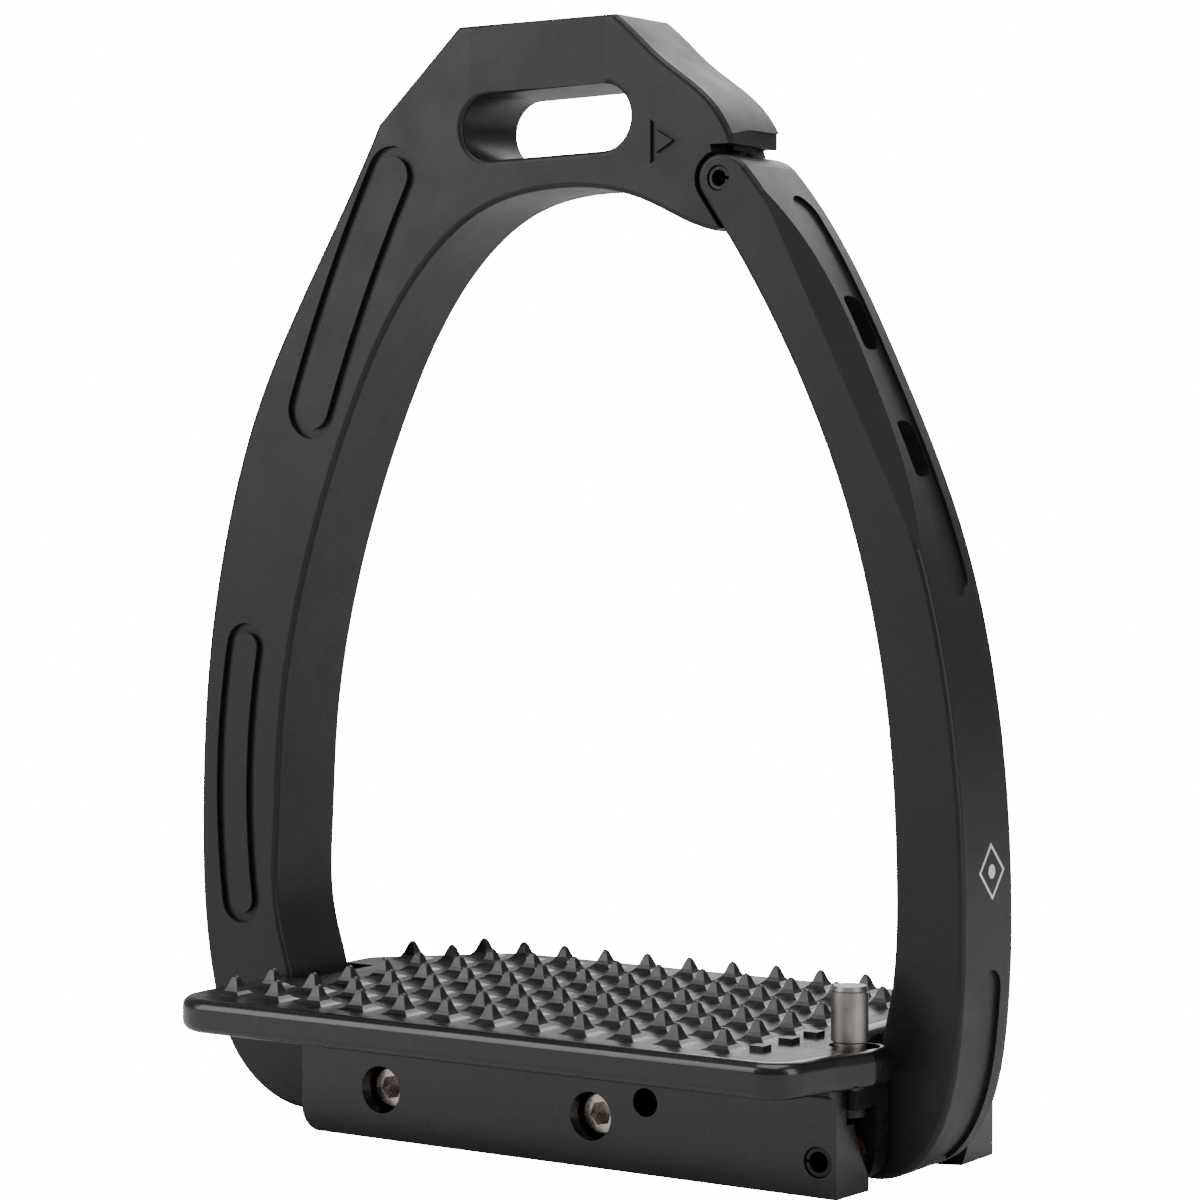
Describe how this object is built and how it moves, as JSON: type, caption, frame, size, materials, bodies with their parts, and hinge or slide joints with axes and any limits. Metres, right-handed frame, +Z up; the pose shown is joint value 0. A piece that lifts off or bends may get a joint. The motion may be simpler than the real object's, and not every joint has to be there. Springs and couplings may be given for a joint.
{
  "type": "safety stirrup iron",
  "caption": "Dark metal safety stirrup iron with a hinged outer arm, a studded black foot bed and a small steel release post.",
  "frame": {"origin": "underside of the base, on the bar, below the middle of the foot opening", "axes": "+Z up towards the leather slot; +X towards the hinged outer arm; -Y the heel side, where the release post stands"},
  "size_m": [0.1484, 0.0746, 0.1812],
  "materials": {
    "dark_satin": "satin",
    "black_gloss": "gloss",
    "black_tread": "gloss",
    "steel": "brushed",
    "post_steel": "matte",
    "black_steel": "black oxide",
    "bronze": "satin",
    "rubber_black": "matte",
    "white_inlay": "gloss"
  },
  "bodies": {
    "base": {"frame": "dark_satin", "hinge_bush": "bronze", "hinge_shims": "bronze", "closing_buffer": "rubber_black", "foot_bed": "black_gloss", "grip_plate": "black_tread", "grip_screws": "steel", "clamp_screws": "steel", "thread_inserts": "bronze", "locating_dowels": "steel", "lock_screw": "black_steel", "lever_pin": "black_steel", "return_spring": "steel"},
    "hinged_arm": {"outer_arm": "dark_satin", "emblem": "white_inlay", "hinge_pin": "black_steel", "strike_plate": "steel", "strike_screws": "steel"},
    "latch": {"release_lever": "black_steel", "lever_bush": "bronze", "release_post": "post_steel", "post_screw": "black_steel", "spring_peg": "steel"}
  },
  "joints": [
    {"name": "arm_hinge", "type": "hinge", "parent": "base", "child": "hinged_arm", "pos_m": [0.0283, 0, 0.1545], "axis": [0, -1, 0], "range_deg": [0, 55]},
    {"name": "latch_hinge", "type": "hinge", "parent": "base", "child": "latch", "pos_m": [0.0546, -0.011, 0.0054], "axis": [0, 1, 0], "range_deg": [0, 5], "stiffness_Nm_per_rad": 0.3, "springref_deg": -9.74, "deforming": ["return_spring"]}
  ]
}
